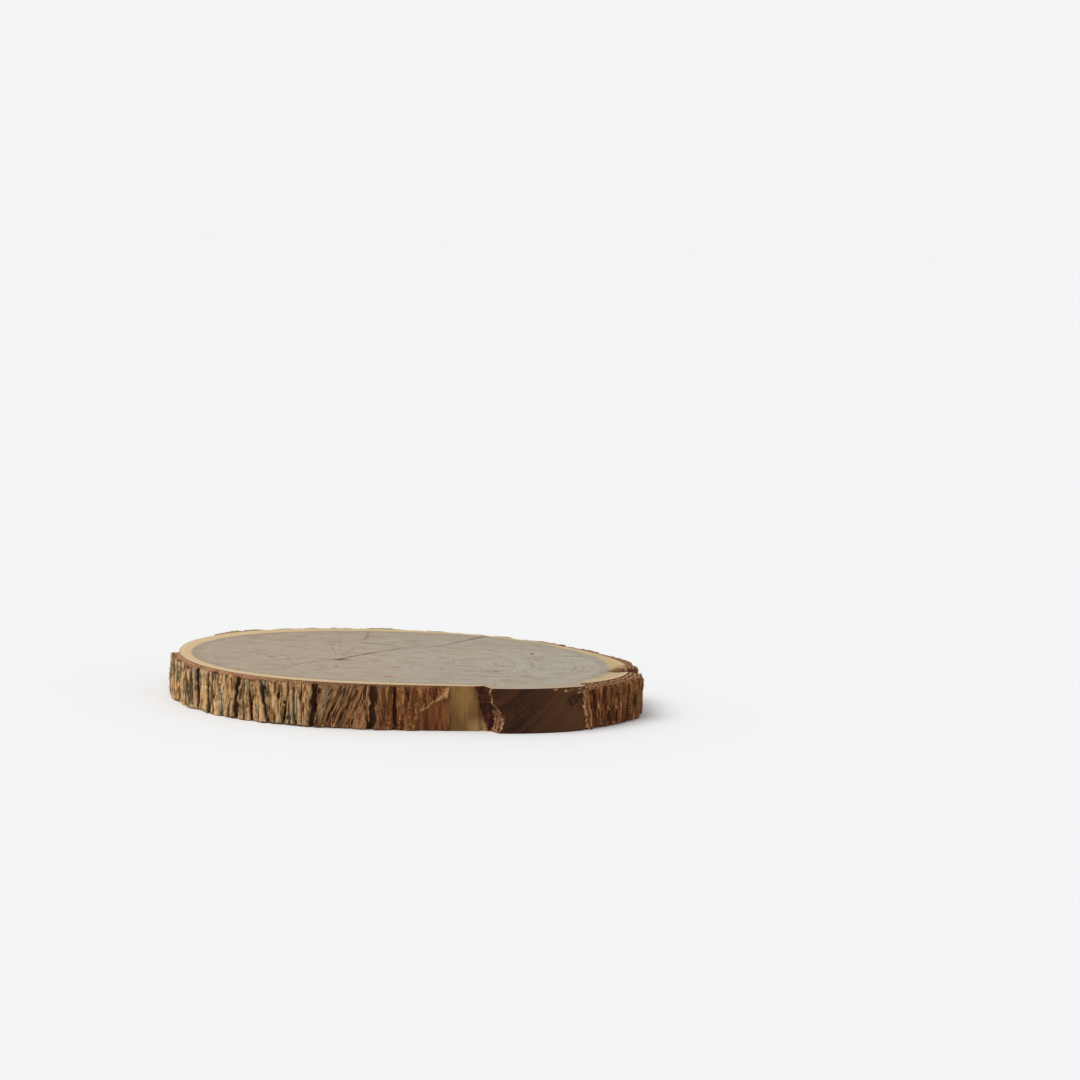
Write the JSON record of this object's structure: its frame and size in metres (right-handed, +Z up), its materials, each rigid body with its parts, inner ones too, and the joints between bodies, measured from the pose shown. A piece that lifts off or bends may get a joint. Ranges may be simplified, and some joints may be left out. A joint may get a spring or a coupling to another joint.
{
  "type": "wood slice",
  "caption": "Round slice sawn across a tree trunk, with pale sapwood, darker heartwood and rough fissured bark round its edge, lying on its flat underside.",
  "frame": {"origin": "middle of the sawn underside, below the centre of the slice's box", "axes": "+X along the slice's longest way across, +Z up out of the sawn top face, -Y towards the side with the branch stub"},
  "size_m": [0.2402, 0.2072, 0.022],
  "materials": {
    "wood_slice": "sawn, unsealed wood with rough bark"
  },
  "bodies": {
    "root": {"wood_slice": "wood_slice"}
  },
  "joints": []
}
